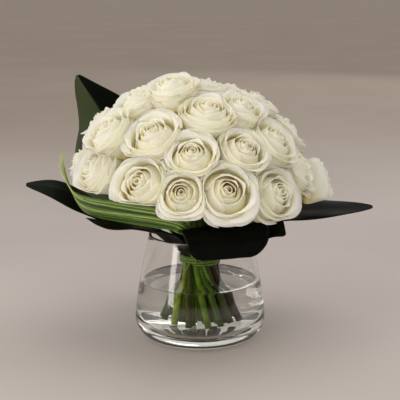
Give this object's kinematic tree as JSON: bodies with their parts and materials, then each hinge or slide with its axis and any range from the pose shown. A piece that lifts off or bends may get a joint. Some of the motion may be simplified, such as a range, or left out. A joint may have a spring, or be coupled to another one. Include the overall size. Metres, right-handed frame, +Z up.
{
  "type": "floral centrepiece",
  "caption": "Low table centrepiece: a tied dome of white roses with broad dark leaves and a sheaf of grass, standing in a tapered clear glass vase of water.",
  "frame": {"origin": "centre of the vase's foot, on the table", "axes": "+Z up, -Y to the front, +X to the right, along the two long side leaves"},
  "size_m": [0.4164, 0.3289, 0.3256],
  "materials": {
    "glass": "gloss",
    "water": "gloss",
    "petal": "matte",
    "stem": "satin",
    "leaf": "gloss",
    "grass": "satin"
  },
  "bodies": {
    "root": {"vase": "glass", "water": "water", "rose_stems": "stem", "rose_01": "petal", "rose_02": "petal", "rose_03": "petal", "rose_04": "petal", "rose_05": "petal", "rose_06": "petal", "rose_07": "petal", "rose_08": "petal", "rose_09": "petal", "rose_10": "petal", "rose_11": "petal", "rose_12": "petal", "rose_13": "petal", "rose_14": "petal", "rose_15": "petal", "rose_16": "petal", "rose_17": "petal", "rose_18": "petal", "rose_19": "petal", "rose_20": "petal", "rose_21": "petal", "rose_22": "petal", "rose_23": "petal", "rose_24": "petal", "rose_25": "petal", "rose_26": "petal", "rose_27": "petal", "rose_28": "petal", "rose_29": "petal", "rose_30": "petal", "rose_31": "petal", "rose_32": "petal", "rose_33": "petal", "leaf_left": "leaf", "leaf_front_left": "leaf", "leaf_front_folded": "leaf", "leaf_front_right": "leaf", "leaf_right": "leaf", "leaf_back_right": "leaf", "leaf_back": "leaf", "leaf_upright": "leaf", "grass_sheaf": "grass", "tie": "grass"}
  },
  "joints": []
}
